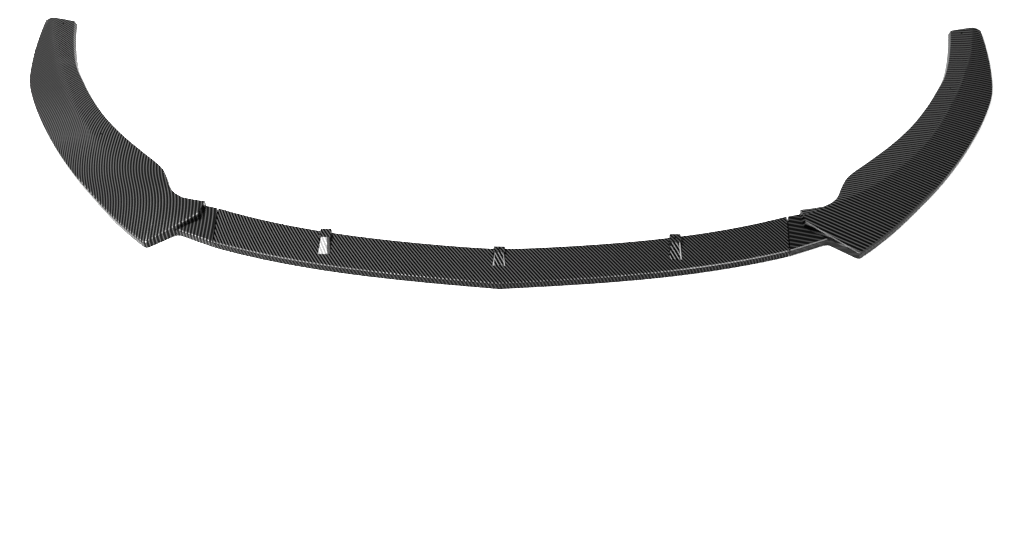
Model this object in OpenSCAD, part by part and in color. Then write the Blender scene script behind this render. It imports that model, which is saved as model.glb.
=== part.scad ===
// Front splitter lip for a car: a centre blade and two wings in thin moulded sheet, open underneath.
// The front edge faces -Y, the wings reach back to +Y, and the lip stands on its lower rims at z = 0.
// The three mouldings are drawn together by short screws from below, at a tongue inside each joint.

/* [Blade] */
// Width of the centre blade, seam to seam
blade_w = 1000; // [880:10:1100]
// Depth of the deck from front to rear at the middle
deck_d = 71; // [60:1:90]
// Depth of the deck at the seams
deck_end_d = 75; // [60:1:95]
// How far the front edge falls back from the middle to the seams
sweep = 76.5; // [50:0.5:110]
// Height of the deck above the ground rims
deck_h = 17; // [15:0.5:24]
// Gap between blade and wing at each seam
seam_gap = 2; // [0.8:0.2:3]
// Chamfer of the deck along both sides of each seam
seam_cut = 0.8; // [0.4:0.1:1.5]

/* [Moulding] */
// Thickness of walls and decks
wall = 3; // [2:0.25:4]
// Radius of the rounded upper edges
edge_r = 2.5; // [1:0.25:4]
// Thickness of the stiffening ribs underneath
rib_t = 2; // [1.5:0.25:3]
// Gap between the ribs and the ground
rib_lift = 3; // [1:0.5:6]
// Number of ribs under each half of the blade
blade_ribs = 4; // [2:1:6]
// Number of ribs under each wing
wing_ribs = 6; // [3:1:9]

/* [Wing] */
// Reach of a wing outboard of its seam
wing_w = 396; // [340:2:440]
// Reach of a wing back from its front corner at the seam
wing_l = 512; // [440:1:560]
// Height of the raised deck where it steps up from the joint plate
step_h = 34; // [28:0.5:44]
// Height of the inner edge at the shoulder
shoulder_h = 30; // [25:0.5:36]
// Height of the crease at the tip
crease_h = 19; // [16:0.5:28]
// Height of the outer and inner edges at the tip
rim_h = 12; // [10:0.5:18]
// How far the foot of the inner wall stands out from its top at the tip
draft = 2.4; // [0:0.2:4]
// Height of the inner wall at the shoulder, where its rim is clear of the ground
skirt_h = 17; // [12:0.5:24]
// How much the deck bulges between its edge and the crease
crown = 1.5; // [0:0.25:4]
// Run of the rounded front corner along each side
corner_run = 7; // [3:0.5:14]
// Run of the filled notch between joint plate and front corner
notch_run = 11; // [4:0.5:18]

/* [Tabs] */
// Distance of the side tabs from the middle
tab_x = 303; // [200:1:400]
// Width of a tab's top plate
tab_w = 19.5; // [16:0.5:26]
// Depth of the top plate of a side tab
tab_d = 19; // [11:0.5:20]
// Depth of the top plate of the middle tab
mid_tab_d = 13.5; // [11:0.5:20]
// Height of a side tab above the deck
tab_rise = 10; // [6:0.5:12]
// Height of the middle tab above the deck
mid_tab_rise = 8; // [5:0.5:12]
// Run of a tab's ramp for each unit of its height
ramp_run = 2.9; // [2:0.1:4]
// Width of the ramp where it meets the top plate
ramp_w = 16.5; // [12:0.5:18]
// Distance of a tab's rear face from the rear edge of the deck
tab_inset = 0.2; // [0.2:0.2:4]

/* [Holes and joint screws] */
// Diameter of the pilot holes in tabs and wings
pilot_d = 3; // [2:0.25:5]
// Length of the tongue that reaches under each joint plate
tongue_l = 31; // [24:1:36]
// Distance of the joint screws from the seam
screw_x = 15; // [10:0.5:18]
// Distance between the two screws of a joint
screw_pitch = 34; // [22:1:44]
// Thread diameter of the joint screws
screw_d = 4; // [3:0.25:5]
// Length of the screws under the head
screw_l = 9; // [7:0.5:10]
// Head diameter of the joint screws
screw_head_d = 7.5; // [6:0.25:9]
// Head height of the joint screws
screw_head_h = 2.2; // [1.5:0.1:2.6]

/* [Hidden] */
$fn = 32;
eps = 0.5;
half_w = blade_w / 2;
lip_d = sweep + wing_l;
blade_end = half_w - seam_gap / 2;
plate_start = half_w + seam_gap / 2;
tongue_z = rib_lift;
boss_z = tongue_z + wall;
boss_d = screw_d + 5;
blade_steps = 24;
wing_steps = 40;

// Plan curves of the blade: a shallow vee at the middle that sweeps back towards the seams
function front_y(x) =
    let(t = abs(x) / half_w)
    sweep * (0.52 * t + 0.48 * pow(t, 3));
function rear_y(x) =
    let(t = abs(x) / half_w)
    deck_d + sweep * (0.52 * sqrt(t * t + 0.0064) + 0.48 * pow(t, 3)) + (deck_end_d - deck_d) * pow(t, 4);

// A point of the wing, in percent of its reach outboard and back from the seam's front corner
function at(p) = [half_w + p[0] * wing_w / 100, sweep + p[1] * wing_l / 100];
function unit(v) = v / norm(v);
function left_of(v) = [-v[1], v[0]];
function mix(a, b, t) = a + (b - a) * t;
function bend(a, k, b, t) = mix(mix(a, k, t), mix(k, b, t), t);

// Smooth curve through a list of points, for s from 0 to 1
function through(P, s) =
    let(n = len(P) - 1, k = min(floor(s * n), n - 1), t = s * n - k)
    let(a = P[max(k - 1, 0)], b = P[k], c = P[k + 1], d = P[min(k + 2, n)])
    0.5 * (2 * b + (c - a) * t + (2 * a - 5 * b + 4 * c - d) * t * t + (3 * b - a - 3 * c + d) * pow(t, 3));

// Main points of the wing's plan
step_front = at([6.8, 9.7]);
step_rear = at([5.3, 15.7]);
corner = at([30.2, -0.9]);
notch = at([17.4, 5.2]);
// Guide curves from the step round to the front corner
deck_crease = [for (p = [[5.9, 13.7], [10.9, 15.2], [16.9, 16.9], [20.9, 19.2]]) at(p)];
deck_inner = [for (p = [[5.3, 15.7], [10.9, 16.4], [16.9, 17.6], [21.4, 20.4]]) at(p)];
// Guide curves from the front corner to the tip: outer edge, crease and inner edge
wing_outer = [for (p = [[31.8, 0.7], [39.3, 4.9], [48.2, 11.3], [58.2, 19.6], [68.3, 28.5], [78.5, 39],
    [87.1, 49.5], [94.2, 60], [98.9, 70.2], [100, 81.7], [99.5, 91.5], [98.3, 100]]) at(p)];
wing_crease = [for (p = [[24.8, 20.5], [30.8, 21.9], [38.1, 25.2], [47.1, 31.5], [58.3, 40.4], [68.4, 50.2],
    [77.2, 61], [83.2, 70.3], [87.2, 78.6], [90.2, 87], [92.4, 94.2], [93.9, 100]]) at(p)];
wing_inner = [for (p = [[22.7, 22.2], [25, 26.7], [28.5, 31.2], [38.4, 38], [49.2, 45.6], [59.4, 54.2],
    [67.9, 63.5], [73.4, 70.9], [77.5, 77], [80.4, 84], [82.6, 92.4], [83.8, 99.7]]) at(p)];
corner_in = corner + corner_run * unit(step_front - corner);
corner_out = corner + corner_run * unit(wing_outer[1] - corner);
outer_edge = concat([corner_out], [for (i = [1:len(wing_outer) - 1]) wing_outer[i]]);

// Heights of the three guides, for s from 0 at the corner to 1 at the tip
function outer_z(s) = mix(deck_h, rim_h, s);
function crease_z(s) = mix(shoulder_h + 1.5, crease_h, s);
function rim_of(z) = max(0, z - rim_h) * (shoulder_h - skirt_h) / (shoulder_h - rim_h);
function lean(z) = draft * min(1, max(0, (shoulder_h - z) / (shoulder_h - rim_h)));
function inner_z(s) = rim_h + (shoulder_h - rim_h) * pow(1 - s, 1.8);

// A station of the wing: points on the outer edge, the crease and the inner edge
function put(p, z) = [p[0], p[1], z];
function deck_station(s) =
    let(q = mix(step_front, corner_in, s), k = norm(q - step_front) / norm(corner - step_front))
    [put(q, mix(step_h, deck_h, k)),
     put(through(deck_crease, s), mix(mix(step_h, shoulder_h, 0.6), shoulder_h + 1.5, s)),
     put(through(deck_inner, s), shoulder_h)];
function corner_station(s) =
    [put(bend(corner_in, corner, corner_out, s), deck_h + 0.4 * (1 - s)),
     put(mix(through(deck_crease, 1), wing_crease[0], s), shoulder_h + 1.5),
     put(mix(through(deck_inner, 1), wing_inner[0], s), shoulder_h)];
function wing_station(s) =
    [put(through(outer_edge, s), outer_z(s)),
     put(through(wing_crease, s), crease_z(s)),
     put(through(wing_inner, s), inner_z(s))];

// All stations in order, with one a wall's thickness in from each end
deck_run = norm(corner_in - step_front);
tip_run = norm(outer_edge[len(outer_edge) - 1] - outer_edge[len(outer_edge) - 2]) * (len(outer_edge) - 1);
stations = concat(
    [for (s = [0, wall / deck_run, 0.2, 0.4, 0.6, 0.8, 1]) deck_station(s)],
    [for (s = [0.25, 0.5, 0.75]) corner_station(s)],
    [for (i = [0:wing_steps - 1]) wing_station(i / wing_steps)],
    [wing_station(1 - wall / tip_run), wing_station(1)]);

// Inward direction across the edge curve g of station i (0 outer, 2 inner)
function inward(S, i, g) =
    let(a = S[max(i - 1, 0)][g], b = S[min(i + 1, len(S) - 1)][g])
    let(n = left_of(unit([b[0] - a[0], b[1] - a[1]])))
    (g == 0 ? 1 : -1) * n;
function slide(p, n, d, z) = [p[0] + n[0] * d, p[1] + n[1] * d, z];
function across(a, b, t, lift) = mix(a, b, t) + [0, 0, lift * sin(180 * t)];

// Outer skin of station i: up one rim, over the crease and down the other rim
function skin_ring(S, i) =
    let(o = S[i][0], c = S[i][1], n = S[i][2], no = inward(S, i, 0), ni = inward(S, i, 2))
    let(r = edge_r, h = edge_r * (1 - cos(45)))
    let(a = slide(o, no, r, o[2]), b = slide(n, ni, r, n[2]))
    concat(
        [put(o, 0), put(o, o[2] - r), slide(o, no, h, o[2] - h), a],
        [for (t = [0.2, 0.4, 0.6, 0.8, 1]) across(a, c, t, crown)],
        [for (t = [0.3, 0.6, 1]) across(c, b, t, crown / 2)],
        [slide(n, ni, h, n[2] - h), put(n, n[2] - r), slide(n, ni, -lean(n[2]), rim_of(n[2]))]);

// Hollow of station i, set in by w from the skin, from z0 at the outer foot and z1 at the inner
function core_ring(S, i, w, z0, z1) =
    let(o = S[i][0], c = S[i][1], n = S[i][2], no = inward(S, i, 0), ni = inward(S, i, 2))
    let(a = slide(o, no, w, o[2] - w), b = slide(n, ni, w, n[2] - w), d = put(c, c[2] - w))
    concat(
        [put(a, z0), a],
        [for (t = [0.25, 0.5, 0.75]) across(a, d, t, crown)],
        [d, across(d, b, 0.5, crown / 2), b, slide(n, ni, w - lean(n[2]), z1)]);

// Closed solid through a list of rings with equal numbers of points
module loft(rings) {
    n = len(rings[0]);
    m = len(rings) - 1;
    sides = [for (k = [0:m - 1], i = [0:n - 1])
        let(j = (i + 1) % n)
        each [[k * n + i, (k + 1) * n + j, (k + 1) * n + i], [k * n + i, k * n + j, (k + 1) * n + j]]];
    caps = [for (i = [1:n - 2]) each [[0, i + 1, i], [m * n, m * n + i, m * n + i + 1]]];
    polyhedron(points = [for (r = rings) each r], faces = concat(sides, caps), convexity = 8);
}

// Section of blade or joint plate at x, between front edge f and rear edge b, its deck lowered by cut
function bar_ring(x, f, b, cut = 0) =
    let(r = edge_r, h = edge_r * (1 - cos(45)), z = deck_h - cut)
    [[x, f, 0], [x, f, deck_h - r - cut], [x, f + h, z - h], [x, f + r, z],
     [x, b - r, z], [x, b - h, z - h], [x, b, deck_h - r - cut], [x, b, 0]];
function hollow_ring(x, f, b) =
    [[x, f, -eps], [x, f, deck_h - wall], [x, b, deck_h - wall], [x, b, -eps]];

blade_x = [for (i = [-blade_steps:blade_steps]) (blade_end - seam_cut) * i / blade_steps];
function joint_front(x) = mix(sweep, notch[1], (x - half_w) / (notch[0] - half_w));
screw_room = rear_y(half_w) - joint_front(half_w + tongue_l) - 2 * wall - screw_head_d - 8;
screw_y = [for (k = [-0.5, 0.5])
    (joint_front(half_w + screw_x) + rear_y(half_w)) / 2 + k * min(screw_pitch, screw_room)];

// Raised tab near the rear edge: a box with a wedge in front that ramps down to the deck
function tab_back(x) = rear_y(x) - tab_inset;
module tab(x, d, rise) {
    front = tab_back(x) - d;
    top = deck_h + rise;
    low = deck_h - min(edge_r, 0.9 * wall);
    flare = 1;
    cut = 0.7;
    run = ramp_run * rise;
    translate([x, 0, 0])
    hull() {
        translate([-tab_w / 2 - flare, front, low])
            cube([tab_w + 2 * flare, d, deck_h - low]);
        translate([-tab_w / 2, front + eps, top - 1])
            cube([tab_w, d - eps - 1, 0.3]);
        translate([-tab_w / 2 + cut, front + eps + cut / 2, top - 1])
            cube([tab_w - 2 * cut, d - eps - cut - 1, 1]);
    }
    translate([x, front, 0])
        loft([ramp_ring(wall, ramp_w, top - 0.3, 1.5, low), ramp_ring(-run, ramp_w + 5, deck_h + 0.4, 0.4, low)]);
}
function ramp_ring(y, w, z, cut, low) =
    let(foot = w / 2 + (z - low) / 5)
    [[-foot, y, low], [-w / 2, y, z - cut], [-w / 2 + cut, y, z],
     [w / 2 - cut, y, z], [w / 2, y, z - cut], [foot, y, low]];
module tab_hollow(x, d, rise) {
    front = tab_back(x) - d;
    translate([x - tab_w / 2 + wall, front + wall / 2, deck_h - 2 * wall])
        cube([tab_w - 2 * wall, d - wall * 1.5 - 1, rise + wall]);
    translate([x, front + d / 2, deck_h])
        cylinder(d = pilot_d, h = rise + 1);
}

module centre_blade() color([0.16, 0.16, 0.17])
translate([0, -lip_d / 2, 0])
difference() {
    union() {
        difference() {
            loft(concat(
                [bar_ring(-blade_end, front_y(blade_end), rear_y(blade_end), seam_cut)],
                [for (x = blade_x) bar_ring(x, front_y(x), rear_y(x))],
                [bar_ring(blade_end, front_y(blade_end), rear_y(blade_end), seam_cut)]));
            loft([for (x = blade_x * (blade_end - wall) / (blade_end - seam_cut))
                hollow_ring(x, front_y(x) + wall, rear_y(x) - wall)]);
        }
        tab(0, mid_tab_d, mid_tab_rise);
        for (s = [-1, 1])
            tab(s * tab_x, tab_d, tab_rise);
        for (s = [-1, 1], i = [0.5:blade_ribs])
            blade_rib(s * half_w * i / blade_ribs);
        for (s = [0, 1])
            mirror([s, 0, 0])
                tongue();
    }
    tab_hollow(0, mid_tab_d, mid_tab_rise);
    for (s = [-1, 1])
        tab_hollow(s * tab_x, tab_d, tab_rise);
    for (s = [-1, 1], y = screw_y)
        translate([s * (half_w + screw_x), y, tongue_z - 1])
            cylinder(d = screw_d + 0.6, h = wall + 2);
}
module blade_rib(x) {
    f = front_y(x) + wall - eps;
    translate([x - rib_t / 2, f, rib_lift])
        cube([rib_t, rear_y(x) - wall + eps - f, deck_h - wall - rib_lift + eps]);
}
module tongue() {
    front = joint_front(half_w + tongue_l) + wall + 1.5;
    back = rear_y(half_w) - wall - 1.5;
    translate([blade_end - wall / 2, 0, tongue_z])
        linear_extrude(wall)
            polygon([[0, front_y(half_w) + wall], [seam_gap + wall, front], [tongue_l, front],
                [tongue_l, back - 5], [tongue_l - 5, back], [0, back]]);
}

// The flat plate that meets the blade, stepped down from the raised deck
plate_x = [plate_start, plate_start + seam_cut, step_rear[0] + wall / 2, step_front[0] + wall / 2,
    mix(step_front[0], notch[0], 0.5), notch[0]];
function foot_y(x) = mix(step_front[1], notch[1], (x - step_front[0]) / (notch[0] - step_front[0])) + wall / 2;
module joint_plate() {
    seam = rear_y(half_w);
    rear = [seam, seam, step_rear[1] - 0.5, foot_y(plate_x[3]), foot_y(plate_x[4]), foot_y(plate_x[5])];
    front = [for (x = plate_x) joint_front(x)];
    loft([for (i = [0:5])
        bar_ring(plate_x[i], front[i], max(rear[i], front[i] + 2 * edge_r + eps), i == 0 ? seam_cut : 0)]);
    a = notch + notch_run * unit(at([0, 0]) - notch);
    b = notch + notch_run * unit(corner - notch);
    linear_extrude(deck_h - 1)
        polygon(concat([for (t = [0:0.125:1]) bend(a, notch, b, t)], [notch + [0, wall / 2]]));
}
// The room for the tongue under the joint plate, open to the blade and to the wing's hollow
module joint_room() {
    n = inward(stations, 1, 2);
    c = through(deck_inner, 0.4);
    translate([0, 0, -eps])
        linear_extrude(deck_h - wall + eps)
            polygon([[plate_start - 1, joint_front(plate_start) + wall], notch + [0.2, wall * 1.12],
                mix(notch, c, 0.5) + [10, 0], c - [0, wall * 1.4], step_rear + n * wall,
                [plate_start - 1, rear_y(half_w) - wall]]);
}
module wing_rib(s) {
    ds = rib_t / tip_run;
    pair = [wing_station(s - ds), wing_station(s), wing_station(s + ds)];
    foot = rib_lift + rim_of(inner_z(s));
    loft([for (i = [0, 1]) core_ring([pair[i], pair[i + 1]], 0, wall - eps, rib_lift, foot)]);
}
module wing() color([0.15, 0.15, 0.16])
translate([0, -lip_d / 2, 0])
difference() {
    union() {
        difference() {
            union() {
                loft([for (i = [0:len(stations) - 1]) skin_ring(stations, i)]);
                joint_plate();
            }
            loft([for (i = [1:len(stations) - 2]) core_ring(stations, i, wall, -eps, -eps)]);
            joint_room();
        }
        for (i = [1:wing_ribs])
            wing_rib(i / (wing_ribs + 0.7));
        for (y = screw_y)
            translate([half_w + screw_x, y, boss_z])
                cylinder(d = boss_d, h = deck_h - wall / 2 - boss_z);
    }
    for (y = screw_y)
        translate([half_w + screw_x, y, boss_z - 1])
            cylinder(d = screw_d, h = deck_h - wall - boss_z + 1);
    for (p = pilot_at)
        translate([p[0], p[1], deck_h - wall - 4])
            cylinder(d = pilot_d, h = step_h);
}
// Pilot holes beside the crease, near the tip and along the inner band
pilot_at = [at([88.5, 97.5]), at([79.1, 70.5]), at([58.2, 44.6])];

module joint_screws() color([0.75, 0.76, 0.78])
translate([half_w + screw_x, -lip_d / 2, tongue_z])
for (y = screw_y)
    translate([0, y, 0]) {
        cylinder(d = screw_d, h = screw_l - 1);
        translate([0, 0, screw_l - 1])
            cylinder(d1 = screw_d, d2 = screw_d * 0.4, h = 1);
        translate([0, 0, -screw_head_h])
            cylinder(d1 = screw_head_d - 1, d2 = screw_head_d, h = screw_head_h);
    }

module left_wing() mirror([1, 0, 0]) wing();
module right_wing() wing();
module left_joint_screws() mirror([1, 0, 0]) joint_screws();
module right_joint_screws() joint_screws();

centre_blade();
left_wing();
right_wing();
left_joint_screws();
right_joint_screws();
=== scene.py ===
"""Front splitter lip: a centre blade and two swept wings with a glossy printed twill weave."""

import math

import bpy
from mathutils import Matrix, Vector

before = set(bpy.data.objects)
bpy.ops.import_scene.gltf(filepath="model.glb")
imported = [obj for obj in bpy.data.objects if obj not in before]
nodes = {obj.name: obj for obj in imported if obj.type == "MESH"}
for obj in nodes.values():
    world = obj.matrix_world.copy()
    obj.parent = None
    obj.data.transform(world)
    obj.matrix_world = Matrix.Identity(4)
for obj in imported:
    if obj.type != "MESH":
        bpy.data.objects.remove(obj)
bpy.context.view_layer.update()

# Camera of the photograph, in metres, degrees and millimetres
CAMERA_AT = (0.11420, -1.82459, 2.40641)
CAMERA_YAW = 3.3601
CAMERA_ELEVATION = 57.0
CAMERA_ROLL = -1.912
CAMERA_LENS = 58.56
CAMERA_SENSOR = 36.0

# Places on the part that the weave follows: heights in metres, x and y in tenths of a metre. The pairs
# are where one tab's looks end and the next tab's begin.
PLAN_SCALE = 10.0
DECK_Z = 0.017
RAMP_FOOT_Z = 0.01705
STEP_Z = 0.0175
PLATE_END_X = 6.2
FRONT_EDGE_Y = -0.8
TAB_PITCH_X = 3.03
LEFT_TO_MIDDLE = (-2.0, -1.0)
MIDDLE_TO_RIGHT = (1.0, 2.0)

# Crease of a wing in plan, |x| as a polynomial in y
CREASE = {(0, 0): 7.4326, (1, 0): 0.8227, (2, 0): -0.2473, (3, 0): 0.0787, (4, 0): -0.0135}

# Parts of a face's normal that tell walls, faces that lean to the front, and the rounded front edge
WALL_UP = 0.5
LEAN_FRONT = -0.12
EDGE_UP = 0.93

# How far a metre of height moves the stripes in y, on walls and on the ramps below the tabs
WALL_SHIFT = 4.0
RAMP_SHIFT = -10.0

# Stripe fields in plan, in cycles: P counts across the stripes and Q along them. Each key is the pair
# of powers of x and y.
CENTRE_P = {(1, 0): 18.221, (0, 1): 14.301, (2, 0): -0.454, (1, 1): 1.299, (0, 2): -0.801,
            (3, 0): 0.018, (2, 1): -0.119, (1, 2): 0.216, (0, 3): -0.259}
CENTRE_Q = {(1, 0): -13.7, (0, 1): 20.6, (2, 0): -0.177, (1, 1): -0.452, (0, 2): 0.812}
LEFT_FRONT_P = {(1, 0): 3.05, (2, 0): -1.28, (0, 1): -0.8}
LEFT_OUTER_P = {(1, 0): 25.6, (1, 1): -3.2, (0, 1): -15.5, (0, 2): 2.75}
LEFT_OUTER_Q = {(1, 0): -13.0, (0, 1): 22.0}
LEFT_TIP_P = {(1, 0): 24.0, (1, 1): -4.1, (0, 1): -13.0}
LEFT_TIP_Q = {(1, 0): -21.5, (0, 1): 15.0}
RIGHT_OUTER_P = {(1, 0): 1.246, (0, 1): 2.605, (2, 0): 1.614, (1, 1): 4.533, (0, 2): 2.732,
                 (3, 0): -0.113, (2, 1): -0.316, (1, 2): -0.273, (0, 3): 0.03}
RIGHT_OUTER_Q = {(1, 0): -18.5, (0, 1): 5.0}
RIGHT_INNER_P = {(1, 0): 5.0, (0, 1): 20.5}
RIGHT_INNER_Q = {(1, 0): -20.5, (0, 1): 5.0}
RIGHT_PLATE_P = {(1, 0): 2.6, (0, 1): 12.5}
RIGHT_PLATE_Q = {(1, 0): -12.5, (0, 1): 2.6}

# S bend of the left wing's front stripes and their lean behind it, with lengths in tenths of a metre
BEND_Y = -1.0
BEND_LENGTH = 0.42
BEND_CYCLES = 3.02
BEND_SLOPE = 7.2
LEAN_Y = 0.05
LEAN_CYCLES = 16.9
LEAN_GROWTH = 1.4
LEAN_SLOPE = -10.0
FRONT_SLOPE = -0.8
FRONT_MIDDLE_X = -7.6
FRONT_CYCLES_ALONG = 21.0

# A stripe is dark below this height of its wave, and this share of it is cut into floats
STRIPE_START = 0.4
FLOAT_SHARE = 0.2

# Tones of the weave, from 0 for the gaps to 1 for the floats: washed out, the even grey of painted light on
# walls, and the even painted highlight on the front edge
WASHED_TONE = 0.21
WALL_LIGHT_TONE = 0.3
EDGE_HIGHLIGHT_TONE = 0.45

# Gloss of the weave: the gaps' grey, the floats' metal, the metal of the front edge under its even painted
# highlight, and roughness
GAP_GREY = 0.0003
FLOAT_METAL = 0.6
EDGE_METAL = 0.4
GAP_ROUGHNESS = 0.16
FLOAT_ROUGHNESS = 0.32
SPECULAR = 0.01

# Faces of the blade's ramps, which widen downward, with strips of painted light and shade beside them:
# heights in metres, widths in tenths of a metre
FACE_TOP_Z = 0.0265
FACE_SPREAD = 2.95
FACE_HALF_LEFT = 0.054
FACE_HALF = 0.063
FACE_SHIFT_LEFT = 0.028

# Stretch near the middle of the blade where the front edge's painted highlight stays faint
DULL_MIDDLE_X = 0.45
DULL_HALF_START = 2.2
DULL_HALF_END = 2.9

# Angles in degrees beyond which an edge stays crisp, larger on the wings' lofted decks
BLADE_CRISP = 8
WING_CRISP = 14
SCREW_CRISP = 35

# Floor, a hair below the part so that their faces don't coincide, in metres
FLOOR_HALF = 30.0
FLOOR_Z = -0.0004


class Graph:
    """Short calls for a material's node tree."""

    def __init__(self, name):
        self.mat = bpy.data.materials.new(name)
        self.mat.use_nodes = True
        self.tree = self.mat.node_tree
        self.tree.nodes.clear()

    def node(self, kind, **settings):
        made = self.tree.nodes.new(kind)
        for key, value in settings.items():
            setattr(made, key, value)
        return made

    def put(self, socket, value):
        if isinstance(value, bpy.types.NodeSocket):
            self.tree.links.new(value, socket)
        else:
            socket.default_value = value

    def math(self, operation, *values):
        made = self.node("ShaderNodeMath", operation=operation)
        for socket, value in zip(made.inputs, values):
            self.put(socket, value)
        return made.outputs[0]

    def add(self, a, b):
        return self.math("ADD", a, b)

    def sub(self, a, b):
        return self.math("SUBTRACT", a, b)

    def mul(self, a, b):
        return self.math("MULTIPLY", a, b)

    def less(self, a, b):
        return self.math("LESS_THAN", a, b)

    def more(self, a, b):
        return self.math("GREATER_THAN", a, b)

    def step(self, value, low, high, to_low=0.0, to_high=1.0):
        """Smooth step of value from low to high."""
        made = self.node("ShaderNodeMapRange", interpolation_type="SMOOTHSTEP")
        for socket, number in zip(made.inputs, (value, low, high, to_low, to_high)):
            self.put(socket, number)
        return made.outputs[0]

    def mix(self, factor, a, b):
        made = self.node("ShaderNodeMix", data_type="FLOAT")
        for socket, value in zip(made.inputs[0:1] + made.inputs[2:4], (factor, a, b)):
            self.put(socket, value)
        return made.outputs[0]

    def power(self, base, n):
        result = base
        for _ in range(n - 1):
            result = self.mul(result, base)
        return result

    def poly(self, x, y, terms):
        """Sum of terms c x^i y^j."""
        total = 0.0
        for (i, j), c in terms.items():
            term = c
            for base, power in ((x, i), (y, j)):
                if power:
                    term = self.mul(self.power(base, power), term)
            total = term if total == 0.0 else self.add(total, term)
        return total

    def principled(self, values):
        """Principled shader with the named sockets set, as the material's surface."""
        shader = self.node("ShaderNodeBsdfPrincipled")
        for label, value in values.items():
            self.put(shader.inputs[label], value)
        out = self.node("ShaderNodeOutputMaterial")
        self.put(out.inputs[0], shader.outputs[0])
        return self.mat


class Surface(Graph):
    """Node tree that knows the place on the part: x and along in plan, z in height.

    y is along, moved with the height so that the stripes run on over walls and, with tabs, over ramps.
    wall is 1 on walls, and leaning on faces that lean to the front. Left of the end of the right joint
    plate, plate is 1 up to the height of the plates and above is 1 higher up. side goes from 0 inside
    the crease to 1 outside it.
    """

    def __init__(self, name, soft, tabs):
        super().__init__(name)
        geometry = self.node("ShaderNodeNewGeometry")
        place = self.node("ShaderNodeSeparateXYZ")
        facing = self.node("ShaderNodeSeparateXYZ")
        self.put(place.inputs[0], geometry.outputs["Position"])
        self.put(facing.inputs[0], geometry.outputs["True Normal"])
        self.x = self.mul(place.outputs[0], PLAN_SCALE)
        self.along = self.mul(place.outputs[1], PLAN_SCALE)
        self.z = place.outputs[2]
        self.up = facing.outputs[2]
        self.wall = self.less(self.up, WALL_UP)
        self.y = self.add(self.along, self.mul(self.wall, self.mul(self.z, WALL_SHIFT)))
        if tabs:
            climb = self.math("MAXIMUM", self.sub(self.z, DECK_Z), 0.0)
            self.y = self.add(self.y, self.mul(climb, RAMP_SHIFT))
        before_end = self.less(self.x, PLATE_END_X)
        self.plate = self.mul(self.less(self.z, STEP_Z), before_end)
        self.above = self.mul(self.more(self.z, STEP_Z), before_end)
        self.leaning = self.mul(self.less(facing.outputs[1], LEAN_FRONT), self.more(self.up, WALL_UP))
        away = self.sub(self.math("ABSOLUTE", self.x), self.poly(self.along, self.along, CREASE))
        self.side = self.step(away, -soft, soft)


def twill(s, p, q):
    """A two over two twill as 0 to 1: light floats in diagonal rows, stepped at the cell size."""
    u = s.math("FLOOR", s.mul(s.add(p, q), 2.0))
    v = s.math("FLOOR", s.mul(s.sub(p, q), 2.0))
    row = s.math("FLOORED_MODULO", s.add(u, v), 4.0)
    stepped = s.less(row, 1.5)
    stripe = s.step(s.math("SINE", s.mul(p, 2 * math.pi)), STRIPE_START, 1.0)
    return s.mul(stripe, s.mix(FLOAT_SHARE, 1.0, stepped))


def striped(s, across, along):
    """Twill from the polynomials of two stripe fields."""
    return twill(s, s.poly(s.x, s.y, across), s.poly(s.x, s.y, along))


def left_front(s):
    """Stripes of the left wing's front and inner band: straight, then an S bend, then leaning outward."""
    bend = s.math("TANH", s.mul(s.sub(s.y, BEND_Y), 1 / BEND_LENGTH))
    rear = s.math("MAXIMUM", s.sub(s.y, LEAN_Y), 0.0)
    p = s.add(s.poly(s.x, s.y, LEFT_FRONT_P), s.mul(bend, BEND_CYCLES))
    lean = s.add(s.mul(s.x, LEAN_GROWTH), LEAN_CYCLES)
    p = s.sub(p, s.mul(lean, s.mul(rear, rear)))
    bend_slope = s.mul(s.sub(1.0, s.mul(bend, bend)), BEND_SLOPE)
    slope = s.add(bend_slope, s.add(s.mul(rear, LEAN_SLOPE), FRONT_SLOPE))
    q = s.sub(s.mul(s.y, FRONT_CYCLES_ALONG), s.mul(s.sub(s.x, FRONT_MIDDLE_X), slope))
    return twill(s, p, q)


def centre(s):
    """Weave of the blade, how washed out it is, and its gain: painted light, brighter towards the left."""
    gain = s.add(1.0, s.mul(s.x, -0.02))
    return striped(s, CENTRE_P, CENTRE_Q), 0.0, gain


def left(s):
    """Weave of the left wing, more washed out and darker towards its outer rear, and its gain of painted
    light.
    """
    front = left_front(s)
    inner = s.mix(s.step(s.along, 1.75, 1.95), front, striped(s, LEFT_TIP_P, LEFT_TIP_Q))
    outer = s.mix(s.step(s.along, -0.15, 0.3), front, striped(s, LEFT_OUTER_P, LEFT_OUTER_Q))
    outer_wash = s.add(s.step(s.along, -0.5, 0.3, 0.0, 0.35), s.step(s.along, 0.5, 1.3, 0.0, 0.25))
    washed = s.add(s.mul(s.side, outer_wash), s.step(s.along, -0.8, 0.0, 0.15, 0.08))
    outer_loss = s.mul(s.side, s.step(s.along, 0.3, 1.3, 0.0, 0.34))
    # Painted light: brighter towards the rear, except on the outer band
    gain = s.sub(s.step(s.along, -1.2, 0.0, 0.97, 1.32), outer_loss)
    return s.mix(s.side, inner, outer), washed, gain


def right(s):
    """Weave of the right wing, coarse on its joint plate, how washed out it is, and its gain."""
    inner = striped(s, RIGHT_INNER_P, RIGHT_INNER_Q)
    outer = striped(s, RIGHT_OUTER_P, RIGHT_OUTER_Q)
    coarse = striped(s, RIGHT_PLATE_P, RIGHT_PLATE_Q)
    washed = s.add(0.05, s.mul(s.plate, 0.1))
    # Painted light: the inner band brighter than the outer; lower on the joint plate
    gain = s.mix(s.plate, s.mix(s.side, 1.42, 1.02), 0.62)
    return s.mix(s.plate, s.mix(s.side, inner, outer), coarse), washed, gain


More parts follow.
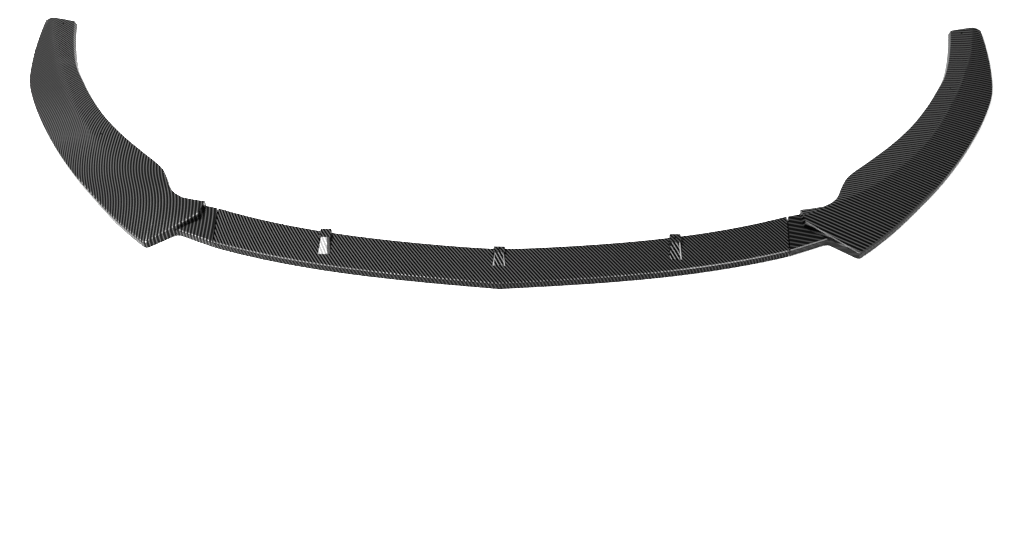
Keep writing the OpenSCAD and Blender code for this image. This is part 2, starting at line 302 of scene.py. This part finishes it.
def painted_ramp_shading(s, weave, metal):
    """Ramps below the tabs: metal faces, the left one nearly white, between strips of painted light and
    shade.
    """
    def by_ramp(on_left, on_others):
        return s.step(s.x, *LEFT_TO_MIDDLE, on_left, on_others)

    ramp = s.mul(s.leaning, s.more(s.z, RAMP_FOOT_Z))
    nearest = s.mul(s.math("ROUND", s.mul(s.x, 1 / TAB_PITCH_X)), TAB_PITCH_X)
    offset = s.add(s.sub(s.x, nearest), by_ramp(FACE_SHIFT_LEFT, 0.0))
    half = s.add(s.mul(s.sub(FACE_TOP_Z, s.z), FACE_SPREAD), by_ramp(FACE_HALF_LEFT, FACE_HALF))
    beside = s.more(s.math("ABSOLUTE", offset), half)
    # The right ramp has a strip of painted highlight on its right side alone
    allowed = s.math("MAXIMUM", s.less(s.x, MIDDLE_TO_RIGHT[1]), s.more(offset, 0.0))
    strip = s.mul(ramp, s.mul(beside, allowed))
    # Painted highlight on the right ramp's face; the left ramp's weave is evened under its metal
    contrast = s.add(by_ramp(0.22, 0.95), s.step(s.x, *MIDDLE_TO_RIGHT, 0.0, 0.65))
    face = s.add(s.mul(weave, contrast), by_ramp(0.1, 0.04))
    metal = s.mix(strip, s.math("MAXIMUM", metal, ramp), 0.0)
    # Strips beside the faces: painted shade on the left ramp, painted highlight on the others
    weave = s.mix(ramp, weave, s.mix(strip, face, by_ramp(0.14, 2.5)))
    return weave, metal


def painted_edge_highlight(s, weave, metal):
    """Painted highlight on the blade's front edge: brighter dots on a lighter base, more towards the right.
    """
    edge = s.mul(s.leaning, s.less(s.z, RAMP_FOOT_Z))
    from_middle = s.math("ABSOLUTE", s.sub(s.x, DULL_MIDDLE_X))
    edge = s.mul(edge, s.step(from_middle, DULL_HALF_START, DULL_HALF_END))
    contrast = s.step(s.x, -2.0, 2.0, 0.4, 0.65)
    base = s.step(s.x, -2.0, 2.0, 0.2, 0.5)
    metal = s.mix(edge, metal, s.add(s.mul(metal, 0.5), 0.18))
    weave = s.mix(edge, weave, s.add(s.mul(weave, contrast), base))
    return weave, metal


def carbon(name, pattern, grey, soft=0.03, wall_shade=0.0, even=0.0, highlight_line=0.0, front_highlight=2.0, tabs=False):
    """Glossy printed twill. pattern(surface) gives the weave, how washed out it is, and its gain.

    grey is the floats' tone, soft half the width of the change at the crease, dim the share of painted
    shade that walls get, painted light where it is negative, even the share of an even grey of painted
    light on the walls apart from the step above the joint plate, rim the share of an even painted highlight
    on the front edge, and glint the share of painted highlight that the front edge gains on the joint
    plates and the blade.
    """
    s = Surface(name, soft, tabs)
    weave, washed, gain = pattern(s)
    # Painted shade on walls by the share dim, and painted light where it is negative
    weave = s.mul(s.mix(washed, weave, WASHED_TONE), s.sub(1.0, s.mul(s.wall, wall_shade)))
    # Walls, apart from the step above the joint plate, get an even grey of painted light by the share even
    front_wall = s.mul(s.wall, s.sub(1.0, s.above))
    weave = s.mix(s.mul(front_wall, even), weave, WALL_LIGHT_TONE)
    metal = s.mul(weave, FLOAT_METAL)
    # Painted light and shade from the pattern's gain
    weave = s.mul(weave, gain)
    edge = s.mul(s.mul(s.leaning, s.less(s.along, FRONT_EDGE_Y)), s.less(s.up, EDGE_UP))
    # Even painted highlight along the front edge by the share rim, with metal under it
    metal = s.mix(s.mul(edge, highlight_line), metal, EDGE_METAL)
    weave = s.mix(s.mul(edge, highlight_line), weave, EDGE_HIGHLIGHT_TONE)
    # Painted highlight on the front edge beside the joint plates and on the blade, by the share glint
    weave = s.mul(weave, s.add(1.0, s.mul(s.mul(edge, s.plate), front_highlight)))
    if tabs:
        weave, metal = painted_ramp_shading(s, weave, metal)
        weave, metal = painted_edge_highlight(s, weave, metal)
    colour = s.node("ShaderNodeMix", data_type="RGBA", clamp_factor=False)
    s.put(colour.inputs[0], weave)
    s.put(colour.inputs[6], (GAP_GREY, GAP_GREY, GAP_GREY, 1))
    s.put(colour.inputs[7], (grey, grey, grey, 1))
    return s.principled({"Base Color": colour.outputs[2], "Metallic": metal, "Specular IOR Level": SPECULAR,
                         "Roughness": s.mix(weave, GAP_ROUGHNESS, FLOAT_ROUGHNESS)})


def steel(name):
    """Zinc-plated steel with a fine grain in its roughness."""
    g = Graph(name)
    grain = g.node("ShaderNodeTexNoise")
    g.put(grain.inputs["Scale"], 900.0)
    return g.principled({"Base Color": (0.62, 0.62, 0.64, 1), "Metallic": 1.0,
                         "Roughness": g.mix(grain.outputs[0], 0.25, 0.45)})


def smooth(obj, angle):
    """Smooth shading with edges that stay crisp beyond the angle, as modifiers over the CAD mesh."""
    for face in obj.data.polygons:
        face.use_smooth = True
    weld = obj.modifiers.new("weld", "WELD")
    weld.merge_threshold = 2e-5
    crisp = obj.modifiers.new("crisp", "EDGE_SPLIT")
    crisp.split_angle = math.radians(angle)
    even = obj.modifiers.new("even", "WEIGHTED_NORMAL")
    even.mode = "FACE_AREA"
    even.weight = 60


def dress(node, mat, crisp_angle):
    obj = nodes[node]
    for slot in obj.material_slots:
        slot.material = mat
    smooth(obj, crisp_angle)


def floor():
    """Plain pale floor, larger than every view."""
    mesh = bpy.data.meshes.new("floor")
    corners = [(-FLOOR_HALF, -FLOOR_HALF, 0), (FLOOR_HALF, -FLOOR_HALF, 0),
               (FLOOR_HALF, FLOOR_HALF, 0), (-FLOOR_HALF, FLOOR_HALF, 0)]
    mesh.from_pydata(corners, [], [(0, 1, 2, 3)])
    obj = bpy.data.objects.new("floor", mesh)
    bpy.context.scene.collection.objects.link(obj)
    obj.location.z = FLOOR_Z
    pale = {"Base Color": (0.8, 0.8, 0.8, 1), "Roughness": 0.9, "Specular IOR Level": 0.0}
    mesh.materials.append(Graph("floor").principled(pale))


def light(name, at, aim, size, power):
    """Soft rectangular light at a place, turned to the aim, in metres and watts."""
    data = bpy.data.lights.new(name, "AREA")
    data.shape = "RECTANGLE"
    data.size, data.size_y = size
    data.energy = power
    obj = bpy.data.objects.new(name, data)
    bpy.context.scene.collection.objects.link(obj)
    obj.location = at
    obj.rotation_euler = (Vector(aim) - Vector(at)).to_track_quat("-Z", "Y").to_euler()


def studio():
    """Even white surroundings and two soft lights from above."""
    world = bpy.data.worlds.new("studio")
    world.use_nodes = True
    back = world.node_tree.nodes["Background"]
    back.inputs["Color"].default_value = (1, 1, 1, 1)
    back.inputs["Strength"].default_value = 0.64
    bpy.context.scene.world = world
    light("top", at=(-1.05, -0.2, 2.4), aim=(-1.05, -0.199, 0), size=(0.9, 0.8), power=330)
    light("top right", at=(0.95, -0.7, 2.4), aim=(0.95, -0.699, 0), size=(1.0, 0.45), power=60)


def camera():
    """Camera of the photograph."""
    yaw = math.radians(CAMERA_YAW)
    elevation = math.radians(CAMERA_ELEVATION)
    roll = math.radians(CAMERA_ROLL)
    back = Vector((math.sin(yaw) * math.cos(elevation), -math.cos(yaw) * math.cos(elevation),
                   math.sin(elevation)))
    level_right = Vector((math.cos(yaw), math.sin(yaw), 0))
    level_up = back.cross(level_right)
    right = math.cos(roll) * level_right + math.sin(roll) * level_up
    up = math.cos(roll) * level_up - math.sin(roll) * level_right
    data = bpy.data.cameras.new("camera")
    data.lens = CAMERA_LENS
    data.sensor_width = CAMERA_SENSOR
    data.clip_end = 100.0
    obj = bpy.data.objects.new("camera", data)
    bpy.context.scene.collection.objects.link(obj)
    obj.matrix_world = Matrix.Translation(CAMERA_AT) @ Matrix((right, up, back)).transposed().to_4x4()
    bpy.context.scene.camera = obj


# Painted light and shade: walls darker on the blade, lighter on the wings, highlights on front edges
blade_weave = carbon("centre_weave", centre, grey=0.062, wall_shade=0.4, front_highlight=0.6, tabs=True)
left_weave = carbon("left_weave", left, grey=0.056, soft=0.1, wall_shade=-0.1)
right_weave = carbon("right_weave", right, grey=0.056, even=0.75, highlight_line=0.8)
screw_steel = steel("screw_steel")
dress("centre_blade", blade_weave, BLADE_CRISP)
dress("left_wing", left_weave, WING_CRISP)
dress("right_wing", right_weave, WING_CRISP)
dress("left_joint_screws", screw_steel, SCREW_CRISP)
dress("right_joint_screws", screw_steel, SCREW_CRISP)

floor()
studio()
camera()
bpy.context.scene.view_settings.view_transform = "Standard"
